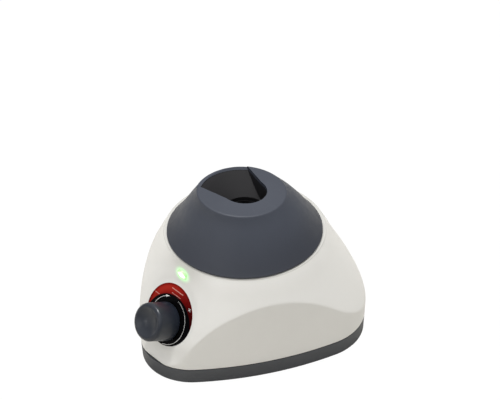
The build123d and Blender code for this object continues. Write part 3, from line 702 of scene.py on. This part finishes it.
def knob_profile():
    floor_height = KNOB_LENGTH - DISH_DEPTH
    profile = [(0.02, floor_height)]
    for i in range(1, 25):       # dished face
        radius = DISH_R * i / 24
        profile.append((radius, floor_height + DISH_RISE * (radius / DISH_R) ** 2.4))
    profile += [(10.6, KNOB_LENGTH - 0.16), (10.95, KNOB_LENGTH - 0.03)]
    profile += arc(KNOB_R - 2.75, KNOB_LENGTH - 2.7, radius=2.7, start=84, end=2, count=14)
    # Side, widening towards the panel: change from KNOB_R, height
    profile += [(KNOB_R + change, height) for change, height in (
        (-0.08, 15.5), (-0.04, 12.5), (0.02, 9.0), (0.10, 5.5), (0.18, 2.6), (0.16, 1.6))]
    profile += arc(KNOB_R - 0.42, 1.55, radius=0.56, start=0, end=-90, count=5)
    # Underside: two ring recesses and the central bore
    profile += [
        (12.4, 0.99), (12.2, 1.4), (12.2, 5.0), (9.3, 5.0), (9.2, 1.4), (9.0, 1.0),
        (7.8, 1.0), (7.6, 1.3), (7.6, 4.0), (5.0, 4.0), (5.0, 14.1), (0.02, 14.1)]
    return profile


def build_knob():
    knob = lathe("knob_body", knob_profile(), surfaces["knob_grey"])
    face_outward(knob.data, merge=0.00003)
    shade(knob.data, smooth=True)
    knob.data.set_sharp_from_angle(angle=math.radians(50))
    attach(knob, "knob")
    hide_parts("speed_knob")


# ---------------------------------------------------------------- dial print (mm)
PRINT_HEIGHTS = (0.19, 0.235)    # underside and face of the print above the panel
MARK_R = 17.35                   # radius and centre of the arcs
MARK_CENTRE = (0.1, 0.9)


def arc_strip(start, end, start_width, end_width, count):
    """Inner and outer lines of an arc between two angles in degrees."""
    inner, outer = [], []
    for k in range(count):
        t = k / (count - 1)
        angle = math.radians(start + (end - start) * t)
        half = (start_width + (end_width - start_width) * t) / 2
        for line, radius in ((inner, MARK_R - half), (outer, MARK_R + half)):
            line.append((MARK_CENTRE[0] + radius * math.cos(angle),
                         MARK_CENTRE[1] + radius * math.sin(angle)))
    return inner, outer


def bar(right, up, length, width, angle=0):
    """Lower and upper lines of a straight bar about its centre."""
    cos, sin = math.cos(math.radians(angle)), math.sin(math.radians(angle))
    half_length, half_width = length / 2, width / 2
    return tuple(
        [(right + end * half_length * cos - side * half_width * sin,
          up + end * half_length * sin + side * half_width * cos) for end in (-1, 1)]
        for side in (-1, 1))


def build_print(name, strips, surface):
    """Thin raised strips, each between two matching open lines on the panel."""
    verts, faces = [], []
    for inner, outer in strips:
        count = len(inner)
        low_in = len(verts)
        low_out, top_in, top_out = (low_in + count * i for i in (1, 2, 3))
        for height in PRINT_HEIGHTS:
            verts += [PANEL + PANEL_RIGHT * right + PANEL_UP * up + PANEL_OUT * height
                      for right, up in inner + outer]
        for k in range(count - 1):
            n = k + 1
            faces += [(top_in + k, top_in + n, top_out + n, top_out + k),
                      (low_in + k, low_out + k, low_out + n, low_in + n),
                      (low_in + k, low_in + n, top_in + n, top_in + k),
                      (low_out + k, top_out + k, top_out + n, low_out + n)]
        last = count - 1
        faces += [(low_in, top_in, top_out, low_out),
                  (low_in + last, low_out + last, top_out + last, top_in + last)]
    piece = make_object(name, verts, faces, surface, smooth=False)
    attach(piece, "frame")


build_housing()
build_knob()
build_print("dial_marks", [
    arc_strip(78, -80, start_width=0.18, end_width=0.36, count=90),   # speed wedge, clockwise
    arc_strip(170, 120, start_width=0.24, end_width=0.30, count=30),  # touch arc
    arc_strip(120, 108, start_width=1.5, end_width=0.05, count=6),    # its arrowhead
    bar(16.3, 17.5, length=3.0, width=0.30, angle=48),                # running mark, a cross
    bar(16.3, 17.5, length=3.0, width=0.30, angle=-42),
], white_ink)
build_print("dial_rules", [
    bar(0.2, 23.9, length=12.0, width=0.60),     # plain rules in place of lettering
    bar(0.2, 20.6, length=9.5, width=0.34),
    bar(-17.2, 13.85, length=4.6, width=0.34),   # touch mark
], rule_ink)


# ---------------------------------------------------------------- floor and world
floor_material = floor_surface().material
bpy.ops.mesh.primitive_plane_add(size=6.0, location=(0, 0, -0.0001))
floor = bpy.context.object
floor.name = "floor"
floor.data.materials.append(floor_material)


def build_world():
    """Sky brightening overhead; the camera sees plain white."""
    horizon, overhead = 0.42, 1.05
    world = bpy.data.worlds.new("studio")
    bpy.context.scene.world = world
    sky = Nodes(world)
    output = sky.add("OutputWorld")
    lighting = sky.emitter("Background", strength=horizon)
    rise = sky.height(sky.position("Generated"))
    sky.feed(lighting.inputs[1], sky.remap(
        rise, source=(0.05, 0.85), target=(horizon, overhead), smooth=True))
    backdrop = sky.emitter("Background", strength=1.0)
    camera_ray = sky.add("LightPath").outputs["Is Camera Ray"]
    sky.feed(output.inputs[0], sky.mix_shader(
        camera_ray, lighting.outputs[0], backdrop.outputs[0]))


build_world()

# ---------------------------------------------------------------- camera place
AZIMUTH, ELEVATION, ROLL = (math.radians(angle) for angle in (49.38, 37.25, -1.1))
CAMERA_DISTANCE = 1700.5         # mm from the target
TARGET_RIGHT, TARGET_UP = 5.16, 109.69           # target from the aim centre (mm)
AIM_CENTRE = Vector((0.0, CENTRE_Y, 3.15))

view_right = Vector((math.cos(AZIMUTH), math.sin(AZIMUTH), 0))
view_back = Vector((math.sin(AZIMUTH) * math.cos(ELEVATION),
                    -math.cos(AZIMUTH) * math.cos(ELEVATION), math.sin(ELEVATION)))
view_up = view_back.cross(view_right)
target = (view_right * TARGET_RIGHT + Vector((0, 0, TARGET_UP)) + AIM_CENTRE) * MM
camera_place = target + view_back * CAMERA_DISTANCE * MM


# ---------------------------------------------------------------- lights (metres, watts)
def disk_light(name, place, aim, size, power):
    light = bpy.data.lights.new(name, "AREA")
    light.shape = "DISK"
    light.size = size
    light.energy = power
    lamp = bpy.data.objects.new(name, light)
    bpy.context.scene.collection.objects.link(lamp)
    lamp.location = place
    direction = Vector(aim) - Vector(place)
    lamp.rotation_euler = direction.to_track_quat("-Z", "Y").to_euler()


disk_light("key_top", place=(-0.06, 0.05, 1.5), aim=(0, 0, 0.05), size=0.30, power=14.0)
disk_light("fill_left", place=tuple(camera_place * 0.6 - view_right * 0.7),
           aim=(0, 0, 0.05), size=0.7, power=1.2)
disk_light("knob_spark", place=(-0.42, -1.0, 0.20), aim=(0, -0.085, 0.05),
           size=0.10, power=0.4)

# ---------------------------------------------------------------- camera
lens = bpy.data.cameras.new("camera")
lens.sensor_width = 36.0
lens.lens = 173.36736
lens.clip_start = 0.05
lens.clip_end = 20.0
camera = bpy.data.objects.new("camera", lens)
bpy.context.scene.collection.objects.link(camera)
rolled_right = view_right * math.cos(ROLL) + view_up * math.sin(ROLL)
rolled_up = -view_right * math.sin(ROLL) + view_up * math.cos(ROLL)
axes = (rolled_right, rolled_up, view_back, camera_place)
camera.matrix_world = Matrix((*zip(*axes), (0, 0, 0, 1)))

scene = bpy.context.scene
scene.camera = camera
scene.view_settings.view_transform = "Standard"
scene.view_settings.look = "None"
scene.view_settings.exposure = 0.0
